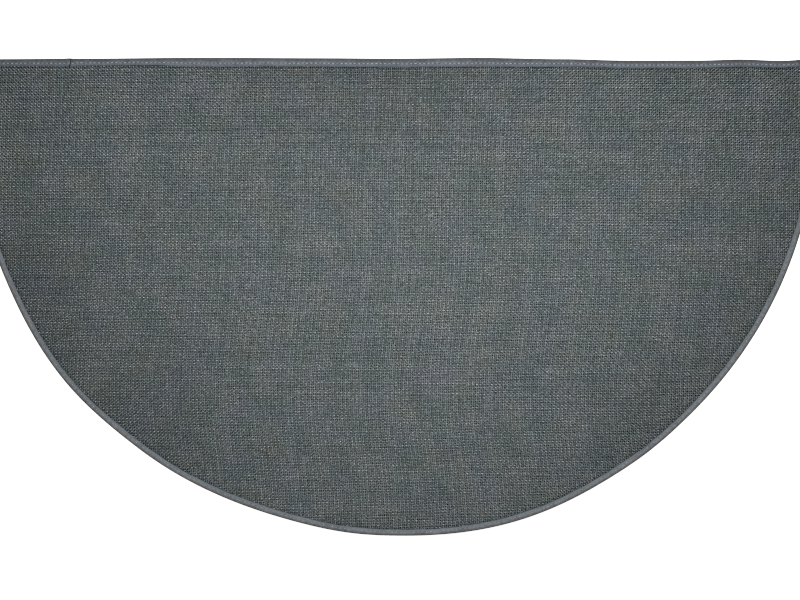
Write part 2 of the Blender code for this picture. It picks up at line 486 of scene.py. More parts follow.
# How the warp leans from back to front, as the cloth was pulled: its shift along X for each metre along Y.
WARP_LEAN = (
    # y_mm, lean
    (-350, -0.03),
    (-284, -0.07),
    (-220, -0.12),
    (-180, -0.08),
    (-141, 0.00),
    (-95, 0.08),
    (-62, 0.10),
    (0, 0.08),
    (60, 0.04),
    (128, 0.01),
    (190, 0.04),
    (350, 0.04),
)
# How the weft leans: its rise along Y for each metre along X, in the middle, and its gain a metre back.
WEFT_LEAN = -0.0105
WEFT_LEAN_GAIN = 0.030

# Small waves by which the weave strays from an even lattice.
WANDER = (
    # axis, size_mm, x_wavelength_mm, y_wavelength_mm, start
    (0, 0.45, 380, 840, 0.40),
    (0, 0.25, 150, -210, 0.75),
    (1, 0.40, 300, -1000, 0.05),
    (1, 0.25, -130, 260, 0.60),
    (1, 0.18, 90, 71, 0.20),
)
END_JITTER = 0.00010
PICK_JITTER = 0.00010
CROSSING_JITTER = 0.00016
HEIGHT_JITTER = 0.00008
WEAVE_SEED = 27
# The lattice starts larger than the rug, so that it still covers the rug once it is bent.
LATTICE_GROWTH = 1.04
SPARE_ENDS = 14
SPARE_PICKS = 10

# The floats lean across their yarn, one way in two opposite corners of the cloth and the other way in the
# others: how much for each square metre from this middle, and at most.
FLOAT_LEAN = 2.3
FLOAT_LEAN_MIDDLE = (-0.107, 0.046)
MOST_FLOAT_LEAN = 0.8

# The cloth goes down under the tape: by this much, between these distances from the tape's inner edge.
PRESSED_DEPTH = 0.0016
PRESSED_TO = 0.0010
PRESSED_FROM = 0.0055
ARC_PRESSED_SHARE = 0.6
BACK_STRIP_DEPTH = 0.03
YARN_END_INSET = 0.0070

# Painted light and shade: where the cloth is made darker or lighter, in broad patches.
PAINTED_LIGHT_PLACES = (
    # x_mm, y_mm, x_reach_mm, y_reach_mm, change of tone
    (-30, 345, 190, 75, -0.17),
    (-535, -30, 100, 130, -0.16),
    (-395, -200, 130, 85, -0.19),
    (545, -40, 100, 140, -0.15),
    (415, -200, 120, 85, -0.20),
    (-500, 240, 220, 120, 0.11),
    (120, -20, 260, 200, 0.05),
    (40, -290, 150, 60, 0.05),
)

# Painted light: how much lighter the weft is than usual, from left to right. The warp is darker where the
# weft is lighter, and in the middle the two are more alike, as light falling aslant makes the floats differ
# more towards the sides.
PAINTED_WEFT_GAIN = (
    # x_mm, gain
    (-560, 0.10),
    (-395, 0.075),
    (-223, -0.01),
    (8, -0.072),
    (238, -0.028),
    (411, 0.005),
    (560, 0.03),
)
PAINTED_WARP_GAIN_SHARE = -1.6


def painted_light_at(places, gain_share):
    """The yarn's painted light and shade at these places."""
    at, gain = np.array(PAINTED_WEFT_GAIN).T
    tone = 1 + gain_share * np.interp(places[:, 0], at / 1000, gain)
    for x, y, reach_x, reach_y, change in PAINTED_LIGHT_PLACES:
        away = (1000 * places[:, :2] - (x, y)) / (reach_x, reach_y)
        tone += change * np.exp(-(away**2).sum(1))
    return tone


def beside_back(y):
    return y > cad_high.y - BACK_STRIP_DEPTH


def visible_tape_width(tape, x, y):
    """The tape's width beside these places of the cloth, from the back edge's table or the arc's share."""
    return np.where(beside_back(y), back_tape_width(tape, x), ARC_TAPE_WIDTH_SHARE * tape.width)


def warp_shift(y):
    """How far the warp has moved along X at these places, from how it leans."""
    at, lean = np.array(WARP_LEAN).T
    steps = np.linspace(at[0], at[-1], 701) / 1000
    leans = np.interp(steps, at / 1000, lean)
    shift = np.concatenate(([0.0], np.cumsum((leans[1:] + leans[:-1]) / 2 * np.diff(steps))))
    return np.interp(y, steps, shift - np.interp(0.0, steps, shift))


class Lattice:
    """Where every warp end and weft pick cross: arrays [pick, end] of place, height and inset."""

    def __init__(self, cloth, tape, edge):
        self.random = np.random.default_rng(WEAVE_SEED)
        half_ends = math.ceil(LATTICE_GROWTH * cad_high.x / cloth.end_spacing) + SPARE_ENDS
        half_picks = math.ceil(LATTICE_GROWTH * cad_high.y / cloth.pick_spacing) + SPARE_PICKS
        ends = np.arange(-half_ends, half_ends + 1)
        picks = np.arange(-half_picks, half_picks + 1)
        x, y = np.meshgrid(ends * cloth.end_spacing, picks * cloth.pick_spacing)
        x = x * (1 + END_SPACING_GROWTH * x / 2)
        y = y * (1 + PICK_SPACING_GROWTH * y / 2)
        x, y = x + warp_shift(y), y + x * (WEFT_LEAN + WEFT_LEAN_GAIN * y)
        strays = [np.zeros_like(x), np.zeros_like(x)]
        for axis, size, wave_x, wave_y, start in WANDER:
            phase = math.tau * (1000 * x / wave_x + 1000 * y / wave_y + start)
            strays[axis] += size / 1000 * np.sin(phase)
        jitter = self.random.normal(0, CROSSING_JITTER, (2, *x.shape))
        self.x = x + strays[0] + jitter[0] + self.random.normal(0, END_JITTER, (1, x.shape[1]))
        self.y = y + strays[1] + jitter[1] + self.random.normal(0, PICK_JITTER, (x.shape[0], 1))
        self.inset = edge.inset_of(self.x, self.y)
        from_tape = self.inset - visible_tape_width(tape, self.x, self.y)
        pressed = smoothstep((PRESSED_FROM - from_tape) / (PRESSED_FROM - PRESSED_TO))
        pressed = pressed * np.where(beside_back(self.y), 1.0, ARC_PRESSED_SHARE)
        self.top = cloth.cloth_top - PRESSED_DEPTH * pressed + self.random.normal(0, HEIGHT_JITTER, x.shape)
        self.pressed = pressed
        lean = FLOAT_LEAN * (self.x - FLOAT_LEAN_MIDDLE[0]) * (self.y - FLOAT_LEAN_MIDDLE[1])
        self.lean = MOST_FLOAT_LEAN * np.tanh(lean / MOST_FLOAT_LEAN)
        self.weft_is_up = (ends[None, :] + picks[:, None]) % 2 == 0
        self.kept = self.inset > YARN_END_INSET


YARN_MAP_STEP = 2
YARN_MAP_HALF_WIDTH = 0.45
SLUB_CROSSINGS = 9
SLUB_SPREAD = 0.09
YARN_THICKNESS_SPREAD = 0.03


def slubs(random, shape):
    """How thick a yarn is at each crossing: its own thickness, with thick and thin places along it."""
    rough = random.normal(0, 1, shape)
    window = np.hanning(SLUB_CROSSINGS)
    window /= window.sum()
    along = np.apply_along_axis(np.convolve, 1, rough, window, "same")
    return 1 + YARN_THICKNESS_SPREAD * random.normal(0, 1, (shape[0], 1)) + SLUB_SPREAD * along


def yarn_set(name, across, sign, reach, lattice, width, drop, gain_share, chosen):
    """Yarns through the lattice [yarn, crossing]: a round mound for each float, pinched at its ends."""
    x, y, top, kept, up, lean, pressed, widths = (values[chosen] for values in lattice)
    up = up.copy()
    up[:, [0, -1]] = False
    kept = kept & up
    yarn, crossing = np.nonzero(kept)
    middle = np.stack([x, y, top], -1)
    along = (middle[yarn, crossing + 1] - middle[yarn, crossing - 1]) / 2
    along[:, 2] = 0.0
    half = width / 2 * widths[yarn, crossing]
    section = np.array(FLOAT_SECTION) * (reach, 1.0, 1.0)
    rings = np.empty((len(yarn), len(section), 3))
    rings[:] = middle[yarn, crossing][:, None]
    rings += section[:, 0, None] * along[:, None]
    length = np.linalg.norm(along, axis=1)
    rings[..., across] += sign * section[:, 1] * half[:, None]
    rings[..., across] += sign * section[:, 0] * (lean[yarn, crossing] * length)[:, None]
    rings[..., 2] += section[:, 2] * drop
    used = np.zeros_like(kept)
    used[yarn, crossing - 1] = True
    used[yarn, crossing + 1] = True
    tip_yarn, tip_crossing = np.nonzero(used)
    tip_number = np.empty(used.shape, int)
    tip_number[used] = rings.shape[0] * len(section) + np.arange(len(tip_yarn))
    tips = middle[used] - (0, 0, drop)
    first = len(section) * np.arange(len(yarn))[:, None]
    before = tip_number[yarn, crossing - 1][:, None]
    after = tip_number[yarn, crossing + 1][:, None]
    quads = np.concatenate([first + (0, 3, 4, 1), first + (1, 4, 5, 2)])
    ends = [(before, 0, 1), (before, 1, 2), (after, 4, 3), (after, 5, 4)]
    triangles = np.concatenate([np.concatenate([tip, first + a, first + b], 1) for tip, a, b in ends])
    points = np.concatenate([rings.reshape(-1, 3), tips])
    obj = new_mesh_object(name, points, quads.tolist() + triangles.tolist())
    along_map = np.concatenate([(crossing[:, None] + section[:, 0]).ravel(), tip_crossing])
    sideways = YARN_MAP_STEP * yarn[:, None] + YARN_MAP_HALF_WIDTH * section[:, 1]
    across_map = np.concatenate([sideways.ravel(), YARN_MAP_STEP * tip_yarn])
    corners = corner_vertices(obj)
    add_map(obj, WEAVE_MAP, np.stack([along_map, across_map], -1)[corners])
    add_map(obj, BAKE_MAP, map_from_above(points)[corners])
    # Painted shade: the yarns are darker in the groove beside the tape, and darkest at their float ends.
    painted_groove_shade = PAINTED_GROOVE_SHADE * pressed
    shade_lift = (section[:, 2] - painted_groove_shade[yarn, crossing][:, None]).ravel()
    add_number(obj, SHADE_LIFT, np.concatenate([shade_lift, -1 - painted_groove_shade[used]]))
    add_number(obj, PAINTED_LIGHT_TONE, painted_light_at(points, gain_share))
    return obj


class HEARTHRUG_OT_weave(Operator):
    """Weave the warp and weft yarns"""

    bl_idname = "hearth_rug.weave"
    bl_label = "Weave Yarns"

    def execute(self, context):
        cloth = context.scene.hearth_rug_cloth
        edge = EdgeLine()
        net = Lattice(cloth, context.scene.hearth_rug_tape, edge)
        shared = (net.x, net.y, net.top, net.kept, net.weft_is_up, net.lean, net.pressed)
        weft = (*shared, slubs(net.random, net.x.shape))
        warp = [values.T for values in shared] + [slubs(net.random, net.x.T.shape)]
        warp[4] = ~warp[4]
        weft_materials = (
            yarn_material("light weft yarn", cloth.light_weft_colour, cloth),
            yarn_material("dark weft yarn", cloth.dark_weft_colour, cloth),
        )
        warp_materials = (
            yarn_material("dark warp yarn", cloth.dark_warp_colour, cloth),
            yarn_material("light warp yarn", cloth.light_warp_colour, cloth),
        )
        drop = cloth.float_drop
        for start, count_name in enumerate(("even", "odd")):
            chosen = slice(start, None, 2)
            name = "weft_" + count_name
            picks = yarn_set(name, 1, 1, WEFT_REACH, weft, cloth.weft_width, drop, 1.0, chosen)
            name = "warp_" + count_name
            ends = yarn_set(name, 0, -1, WARP_REACH, warp, cloth.warp_width, drop, PAINTED_WARP_GAIN_SHARE, chosen)
            finish_piece(picks, weft_materials[start], "woven_field", "woven_mat")
            finish_piece(ends, warp_materials[start], "woven_field", "woven_mat")
        return {"FINISHED"}


# The ground under the yarns

GROUND_SIDES = 1100
GROUND_OUTER_INSET = 0.0015
GROUND_WELL_INSET = 0.0092
GROUND_UNDER_INSET = 0.0133
GROUND_RIM_BOTTOM = 0.0012
GROUND_RIM_TOP = 0.0051
GROUND_WELL_FLOOR = 0.0032
LEVEL_NORMAL = 0.9
LEVEL_TOLERANCE = 0.0001
# The underside's weave: how far its rows bend, how sharp its crowns are, and how much lighter they are than
# the painted shade between them.
UNDERSIDE_BEND = (1.6, 1.6, 0.0)
CROWN_SHARPNESS = 0.6
CROWN_LIGHT = 1.7


def select_level_face(obj, upwards):
    """In edit mode, select the largest level face that looks up or down, and nothing else."""
    bpy.ops.mesh.select_all(action="DESELECT")
    bpy.ops.object.mode_set(mode="OBJECT")
    sign = 1 if upwards else -1
    level = [face for face in obj.data.polygons if sign * face.normal.z > LEVEL_NORMAL]
    max(level, key=lambda face: face.area).select = True
    bpy.ops.object.mode_set(mode="EDIT")


def ground_material(cloth):
    """Painted shade deep between the yarns, and on the underside the weave as it shows from below, with
    painted shade between its crowns.
    """
    material, tree, shader = cloth_material("cloth ground", 0.95)
    place = object_place(tree)
    scale = (math.pi / cloth.end_spacing, math.pi / cloth.pick_spacing, 0.0)
    bend = noise(tree, place, scale=160.0, detail=2.0)["Color"]
    even = vector_maths(tree, "MULTIPLY", place, scale)
    along = parts_of(tree, vector_maths(tree, "MULTIPLY_ADD", bend, UNDERSIDE_BEND, even))
    checks = maths(tree, "MULTIPLY", maths(tree, "SINE", along["X"]), maths(tree, "SINE", along["Y"]))
    crowns = maths(tree, "ABSOLUTE", checks)
    fleck = noise(tree, place, scale=420.0, detail=3.0, roughness=0.7)
    share = maths(tree, "MULTIPLY", maths(tree, "POWER", crowns, CROWN_SHARPNESS), fleck["Fac"])
    below = maths(tree, "LESS_THAN", parts_of(tree, place)["Z"], GROUND_RIM_BOTTOM)
    painted_lit_share = maths(tree, "MULTIPLY", maths(tree, "MULTIPLY", share, CROWN_LIGHT), below)
    base = mixed(tree, painted_lit_share, (*cloth.painted_shade_colour, 1.0), (*cloth.dark_warp_colour, 1.0))
    tree.links.new(base, shader.inputs["Base Color"])
    add_bump(tree, shader, strength=1.0, distance=0.0007, height=crowns)
    return material


class HEARTHRUG_OT_ground(Operator):
    """Make the cloth's ground in the painted shade colour, which carries the yarns and fills the folded tape
    """

    bl_idname = "hearth_rug.ground"
    bl_label = "Make Ground"

    def execute(self, context):
        edge = EdgeLine()
        bpy.ops.object.select_all(action="DESELECT")
        bpy.ops.mesh.primitive_circle_add(vertices=GROUND_SIDES, fill_type="NGON", location=(0, 0, 0))
        obj = context.object
        obj.name = "woven_ground"
        points, outward = edge.place(np.arange(GROUND_SIDES) * edge.length / GROUND_SIDES)
        outline = points - outward * GROUND_OUTER_INSET
        for vertex, (x, y) in zip(obj.data.vertices, outline[::-1]):
            vertex.co = (x, y, GROUND_RIM_BOTTOM)
        bpy.ops.object.mode_set(mode="EDIT")
        bpy.ops.mesh.select_all(action="SELECT")
        rise = GROUND_RIM_TOP - GROUND_RIM_BOTTOM
        bpy.ops.mesh.extrude_region_move(TRANSFORM_OT_translate={"value": (0, 0, rise)})
        bpy.ops.mesh.select_all(action="SELECT")
        bpy.ops.mesh.normals_make_consistent(inside=False)
        steps = (
            # upwards, inset, drop
            (True, GROUND_WELL_INSET - GROUND_OUTER_INSET, GROUND_WELL_FLOOR - GROUND_RIM_TOP),
            (False, GROUND_UNDER_INSET - GROUND_OUTER_INSET, -GROUND_RIM_BOTTOM),
        )
        for upwards, inset, drop in steps:
            select_level_face(obj, upwards)
            bpy.ops.mesh.inset(thickness=inset, depth=0.0)
            bpy.ops.mesh.extrude_region_move(TRANSFORM_OT_translate={"value": (0, 0, drop)})
        bpy.ops.mesh.select_all(action="SELECT")
        bpy.ops.mesh.normals_make_consistent(inside=False)
        bpy.ops.mesh.quads_convert_to_tris()
        bpy.ops.object.mode_set(mode="OBJECT")
        bpy.ops.object.shade_flat()
        cloth = context.scene.hearth_rug_cloth
        finish_piece(obj, ground_material(cloth), "woven_field", "woven_mat")
        vertices = np.array([v.co for v in obj.data.vertices])
        halves = map_from_above(vertices) * (1.0, 0.5)
        halves[vertices[:, 2] < GROUND_RIM_BOTTOM + LEVEL_TOLERANCE, 1] += 0.5
        add_map(obj, BAKE_MAP, halves[corner_vertices(obj)])
        return {"FINISHED"}


# The tape round the edge

STATIONS_PER_STITCH = 4
TAPE_MAP_ROWS = 8
LAP_START_X = -0.4657
LAP_SLANT = -0.15
LAP_LENGTH = 0.0260
LAP_RISE = 0.0007
LAP_RISES_ABOVE_MM = 3.0
LAP_SPREAD = 0.02
LAP_STATIONS = 24
# The lap's far end sinks into the tape, as it falls by this many times its rise.
LAP_FALL = 1.1
# The lap's cut end is frayed and darkened by a painted shadow as far as this, and then less and less.
FRAYED_AND_SHADED_TO = 0.0008
FRAY_AND_SHADE_FADE = 0.0010
# The tape before the lap, and a little way under it, is wider.
UNDER_LAP_EXTRA_WIDTH = 0.0012
UNDER_LAP_END = 0.008
UNDER_LAP_REACH = 0.09
UNDER_LAP_FADE = 0.006
# Beside the lap: the tape bulges out, its inner edge has a notch, and a painted shade line marks the crease
# where its turned-in end stops.
BULGE = 0.0007
BULGE_PLACE = -0.0028
BULGE_REACH = 0.0036
NOTCH = 0.0018
NOTCH_PLACE = -0.0024
NOTCH_REACH = 0.0014
CREASE_PLACE = -0.0088
CREASE_REACH = 0.0011
PAINTED_CREASE_SHADE = 0.45

# Round the folded tape, from its inner edge over the top, round the outer fold, under the mat and back
# inside. Inset is a share of the tape's width; puff and dimple say how far each point follows those.
TAPE_SECTION = (
    # inset, height_mm, puff, dimple
    (1.000, 5.30, 0.0, 0.0),
    (0.995, 5.75, 0.2, 0.0),
    (0.930, 6.02, 0.7, 0.0),
    (0.830, 6.32, 1.0, 0.1),
    (0.725, 6.46, 1.0, 0.3),
    (0.670, 6.36, 0.8, 0.7),
    (0.600, 6.22, 0.4, 1.0),
    (0.530, 6.36, 0.8, 0.7),
    (0.410, 6.48, 1.0, 0.3),
    (0.260, 6.40, 1.0, 0.1),
    (0.160, 6.08, 0.7, 0.0),
    (0.080, 5.50, 0.3, 0.0),
    (0.022, 4.55, 0.0, 0.0),
    (0.000, 3.30, 0.0, 0.0),
    (0.022, 1.95, 0.0, 0.0),
    (0.095, 0.75, 0.0, 0.0),
    (0.200, 0.15, 0.0, 0.0),
    (0.330, 0.00, 0.0, 0.0),
    (0.975, 0.00, 0.0, 0.0),
    (1.000, 0.35, 0.0, 0.0),
    (0.975, 0.85, 0.0, 0.0),
    (0.230, 0.85, 0.0, 0.0),
    (0.110, 1.60, 0.0, 0.0),
    (0.078, 3.30, 0.0, 0.0),
    (0.110, 4.90, 0.0, 0.0),
    (0.230, 5.42, 0.0, 0.0),
    (0.950, 5.20, 0.0, 0.0),
)
OUTER_SKIN_POINTS = 20
OUTER_SKIN_MAP_SHARE = 0.92
SECTION_WIDTH_MM = 12.5
MAP_ROW_FILL = 0.96
LAP_CAP_MAP_PLACE = (0.5, 0.985)
# The sewing draws the tape down along its row, most at the needle holes, and less round the arc.
DIMPLE = 0.00012
HOLE_DIMPLE = 0.00034
HOLE_DIMPLE_REACH = 0.16
ARC_DIMPLE_SHARE = 0.35
# The edge is the back where its outward direction's Y is over this, and wholly so after this much more.
BACK_FROM = 0.9
BACK_FADE = 0.09


def lap_distance(edge):
    """Where along the edge line the lap starts, at the tape's outer fold on the back edge."""
    away = np.where(edge.outward[:, 1] > BACK_FROM, np.abs(edge.points[:, 0] - LAP_START_X), np.inf)
    return edge.distances[away.argmin()]


def near_lap(edge, distance, place, reach):
    """1 at this place from the lap's start along the edge, and 0 away from it."""
    apart = np.mod(distance - lap_distance(edge) - place + edge.length / 2, edge.length) - edge.length / 2
    return np.exp(-((apart / reach) ** 2))


def waves(distance, length, table):
    """Slow unevenness along the edge: a sum of waves that close on themselves."""
    total = np.zeros_like(distance)
    for turns, size, start in table:
        total += size * np.sin(math.tau * (turns * distance / length + start))
    return total


# The width of tape that shows along the back edge, and round the arc.
BACK_TAPE_WIDTHS = (
    # x_mm, width_mm
    (-600, 10.3),
    (-540, 10.7),
    (-482, 10.1),
    (-466, 10.1),
    (-385, 10.5),
    (-350, 10.9),
    (-313, 12.3),
    (-252, 13.4),
    (-190, 12.3),
    (-79, 12.5),
    (119, 12.8),
    (165, 12.8),
    (205, 12.3),
    (265, 11.0),
    (340, 11.1),
    (440, 11.2),
    (490, 11.0),
    (550, 10.2),
    (600, 9.8),
)
USUAL_BACK_WIDTH = 10.77
ARC_TAPE_WIDTH_SHARE = 0.865
WIDTH_WAVES = (
    # turns round the rug, size, start
    (17, 0.00012, 0.7),
    (41, 0.00014, 0.3),
    (97, 0.00012, 0.9),
    (211, 0.00008, 0.5),
)
PUFF_WAVES = (
    # turns round the rug, size, start
    (23, 0.00006, 0.2),
    (67, 0.00006, 0.8),
    (151, 0.00005, 0.4),
)


def back_tape_width(tape, x):
    """The width of tape that shows along the back edge, from its table."""
    at, widths = np.array(BACK_TAPE_WIDTHS).T
    return np.interp(x, at / 1000, widths / USUAL_BACK_WIDTH) * tape.width


def tape_width(edge, tape, distance):
    """The width of tape that shows: what it is round the arc or along the back, with small unevenness."""
    points, outward = edge.place(distance)
    back = on_back(outward)
    width = back_tape_width(tape, points[..., 0]) * back + ARC_TAPE_WIDTH_SHARE * tape.width * (1 - back)
    before_end = np.mod(lap_distance(edge) + UNDER_LAP_END - distance, edge.length)
    wider = smoothstep(1 - before_end / UNDER_LAP_REACH) * smoothstep(before_end / UNDER_LAP_FADE)
    width = width + waves(distance, edge.length, WIDTH_WAVES) + UNDER_LAP_EXTRA_WIDTH * wider
    return width - NOTCH * near_lap(edge, distance, NOTCH_PLACE, NOTCH_REACH)


def stitch_count(edge, tape):
    """How many stitches go round: an even number near what their pitch asks for."""
    return 2 * round(edge.length / tape.stitch_pitch / 2)


def stitch_places(edge, tape):
    """How far along the edge the middle of each stitch is."""
    count = stitch_count(edge, tape)
    return (np.arange(count) + 0.5) * edge.length / count


def on_back(outward):
    """1 on the straight back edge and 0 on the arc."""
    return smoothstep((outward[..., 1] - BACK_FROM) / BACK_FADE)


def tape_rings(edge, tape, distance, slant, rise):
    """Points [station, section point] of a folded tape through these distances along the edge."""
    section = np.array(TAPE_SECTION)
    at = distance[:, None] + slant * section[:, 0] * tape_width(edge, tape, distance)[:, None]
    spread = 1 + LAP_SPREAD * rise[:, None] / LAP_RISE
    inset = section[:, 0] * tape_width(edge, tape, at) * spread
    points, outward = edge.place(at)
    from_hole = np.mod(at * stitch_count(edge, tape) / edge.length, 1.0)
    hole = np.exp(-((np.minimum(from_hole, 1 - from_hole) / HOLE_DIMPLE_REACH) ** 2))
    drawn = ARC_DIMPLE_SHARE + (1 - ARC_DIMPLE_SHARE) * on_back(outward)
    height = section[:, 1] / 1000 + section[:, 2] * waves(at, edge.length, PUFF_WAVES)
    height = height - section[:, 3] * (DIMPLE + HOLE_DIMPLE * hole) * drawn
    outer = np.arange(len(section)) < OUTER_SKIN_POINTS
    height = height + rise[:, None] * (outer & (section[:, 1] > LAP_RISES_ABOVE_MM))
    bulge = BULGE * near_lap(edge, at, BULGE_PLACE, BULGE_REACH) * (1 - section[:, 0])
    places = points - outward * (inset - bulge)[..., None]
    return np.concatenate([places, height[..., None]], -1), at


def section_shares(points):
    """Where each section point is round the section, from 0 to the outer skin's share and then to 1."""
    section = np.array(TAPE_SECTION)[:, :2] * (SECTION_WIDTH_MM, 1.0)
    steps = np.linalg.norm(np.roll(section, -1, 0) - section, axis=1)
    so_far = np.concatenate(([0.0], np.cumsum(steps)))
    outer = so_far[OUTER_SKIN_POINTS]
    inner = so_far[-1] - outer
    past = OUTER_SKIN_MAP_SHARE + (1 - OUTER_SKIN_MAP_SHARE) * (so_far - outer) / inner
    return np.where(so_far <= outer, OUTER_SKIN_MAP_SHARE * so_far / outer, past)


def loft(name, rings, at, fray_and_shade, arc, closed):
    """A mesh through rings of points. Its tape map has millimetres along it, and the share across it."""
    stations, around = rings.shape[:2]
    last = stations if closed else stations - 1
    i, k = np.meshgrid(np.arange(last), np.arange(around), indexing="ij")
    i_next, k_next = (i + 1) % stations, (k + 1) % around
    quads = np.stack([i * around + k, i_next * around + k, i_next * around + k_next, i * around + k_next], -1)
    faces = quads.reshape(-1, 4).tolist()
    if not closed:
        faces.append(list(range(around)))
        faces.append([(stations - 1) * around + k for k in range(around)][::-1])
    obj = new_mesh_object(name, rings.reshape(-1, 3), faces)
    along, across = at.ravel() * 1000, np.tile([row[0] for row in TAPE_SECTION], stations)
    corners = corner_vertices(obj)
    tape_map = np.stack([along[corners], across[corners]], -1)
    shares = section_shares(rings)
    per_row = stations / TAPE_MAP_ROWS if closed else last
    row = np.floor(i / per_row)
    bake = np.empty((last, around, 4, 2))
    for corner, (di, dk) in enumerate(((0, 0), (1, 0), (1, 1), (0, 1))):
        bake[..., corner, 0] = (i + di) / per_row - row
        bake[..., corner, 1] = (row + MAP_ROW_FILL * shares[k + dk]) / (TAPE_MAP_ROWS if closed else 1)
    bake = bake.reshape(-1, 2)
    if closed:
        seam = np.zeros((last, around, 4), bool)
        seam[-1, :, 1:3] = True
        tape_map[seam.ravel(), 0] += 1000 * (at[-1, 0] + (at[1, 0] - at[0, 0]) - at[0, 0])
    else:
        bake = np.vstack([bake, np.tile(LAP_CAP_MAP_PLACE, (2 * around, 1))])
    add_map(obj, TAPE_MAP, tape_map)
    add_map(obj, BAKE_MAP, bake)
    add_number(obj, FRAY_AND_SHADE, np.repeat(fray_and_shade, around))
    add_number(obj, ARC, np.repeat(arc, around))
    return obj


# The tape is lighter round the arc than along the back, as a painted highlight, and a little less blue.
ARC_TAPE_HIGHLIGHT_AND_TINT = (1.33, 1.30, 1.23)
# The back's tape is lighter towards its left end: by how much, and from where to where along X.
LEFT_TAPE_GAIN = 0.08
LEFT_TAPE_FROM = -0.10
LEFT_TAPE_TO = -0.25
# Where the needle went in, the tape's dimple is darkened by painted shade: how much on the back edge, how
# much less round the arc, and how far along the tape and, as a share of its width, across it.
PAINTED_HOLE_SHADE = 0.50
ARC_HOLE_CHANGE = -0.7
HOLE_REACH_MM = 1.5
HOLE_REACH_ACROSS = 0.11
# The tape's ribs and threads, and how far its tone follows them and two sizes of mottling.
RIB_SPACING_MM = 0.55
THREADS_ACROSS = 25
GRAIN_SHADE = 0.12
MOTTLE_SHADE = 0.9
SLOW_SHADE = 0.5
# The colours stray across the tape by this share of its width, and the mottling stands out by this.
COLOUR_STRAY = 0.24
MOTTLE_RELIEF = 1.5


def colour_across(tree, tape, share):
    """The tape's colour at this share of its width, from its outer fold to its inner edge, with a painted
    highlight and painted shade across it.
    """
    shine = add_node(tree, "ShaderNodeValToRGB", None, {"Fac": share})
    # The tape colour stands for a painted highlight along the row of stitches, and the dull colour for
    # painted shade on the slopes beside it.
    stops = (
        # place, colour
        (0.00, tape.colour),
        (0.08, tape.fold_colour),
        (0.15, tape.fold_colour),
        (0.27, tape.dull_and_shaded_colour),
        (0.56, tape.colour),
        (0.80, tape.colour),
        (0.96, tape.inner_colour),
    )
    ramp = shine.color_ramp
    while len(ramp.elements) < len(stops):
        ramp.elements.new(0.5)
    for element, (stop, colour) in zip(ramp.elements, stops):
        element.position = stop
        element.color = (*colour, 1.0)
    return shine.outputs["Color"]


def tape_material(tape, pitch):
    """Fine ribbed tape: bluish, with a painted highlight by the row of stitches, painted shade on its dull
    slopes, and worn brownish on the outer fold.
    """
    material, tree, shader = cloth_material("edge tape", 0.85)
    where = add_node(tree, "ShaderNodeUVMap", {"uv_map": TAPE_MAP})
    sides = parts_of(tree, where.outputs[0])
    along, across = sides["X"], sides["Y"]
    place = object_place(tree)
    mottle = noise(tree, place, scale=190.0, detail=3.0)["Fac"]
    slow = noise(tree, place, scale=26.0, detail=2.0)["Fac"]
    colour = colour_across(tree, tape, stray(tree, mottle, COLOUR_STRAY, across))
    ribs = maths(tree, "SINE", maths(tree, "MULTIPLY", along, math.tau / RIB_SPACING_MM))
    threads = maths(tree, "SINE", maths(tree, "MULTIPLY", across, math.tau * THREADS_ACROSS))
    grain = maths(tree, "MULTIPLY", ribs, threads)
    tone = maths(tree, "MULTIPLY_ADD", grain, GRAIN_SHADE, 1.0)
    tone = stray(tree, mottle, MOTTLE_SHADE, tone)
    tone = stray(tree, slow, SLOW_SHADE, tone)
    arc = attribute(tree, ARC)
    values = {
        "Value": parts_of(tree, place)["X"],
        "From Min": LEFT_TAPE_FROM,
        "From Max": LEFT_TAPE_TO,
        "To Max": LEFT_TAPE_GAIN,
    }
    left = add_node(tree, "ShaderNodeMapRange", None, values).outputs["Result"]
    gain = maths(tree, "MULTIPLY", left, maths(tree, "SUBTRACT", 1.0, arc))
    tone = maths(tree, "MULTIPLY", tone, maths(tree, "ADD", 1.0, gain))
    # Painted shade at the needle holes, along the row of stitches.
    off_row = maths(tree, "ABSOLUTE", maths(tree, "SUBTRACT", across, STITCH_SHARE))
    painted_hole_shade = maths(tree, "MULTIPLY_ADD", arc, PAINTED_HOLE_SHADE * ARC_HOLE_CHANGE, PAINTED_HOLE_SHADE)
    from_hole = maths(tree, "PINGPONG", along, 1000 * pitch / 2)
    for away, reach in ((from_hole, HOLE_REACH_MM), (off_row, HOLE_REACH_ACROSS)):
        painted_hole_shade = maths(tree, "MULTIPLY", smooth_range(tree, away, 0.0, reach, 1.0, 0.0), painted_hole_shade)
    tone = maths(tree, "MULTIPLY", tone, maths(tree, "SUBTRACT", 1.0, painted_hole_shade))
    # Painted highlight round the arc, with a little less blue.
    tint = mixed(tree, arc, (1.0, 1.0, 1.0, 1.0), (*ARC_TAPE_HIGHLIGHT_AND_TINT, 1.0))
    tinted = vector_maths(tree, "MULTIPLY", scaled(tree, colour, tone), tint)
    # The cut end colour goes where the attribute says: the lap's frayed cut end with its painted shadow, and
    # the painted shade line of the crease.
    base = mixed(tree, attribute(tree, FRAY_AND_SHADE), tinted, (*tape.cut_end_and_shadow_colour, 1.0))
    tree.links.new(base, shader.inputs["Base Color"])
    relief = maths(tree, "MULTIPLY_ADD", mottle, MOTTLE_RELIEF, grain)
    add_bump(tree, shader, strength=0.5, distance=0.00012, height=relief)
    return material


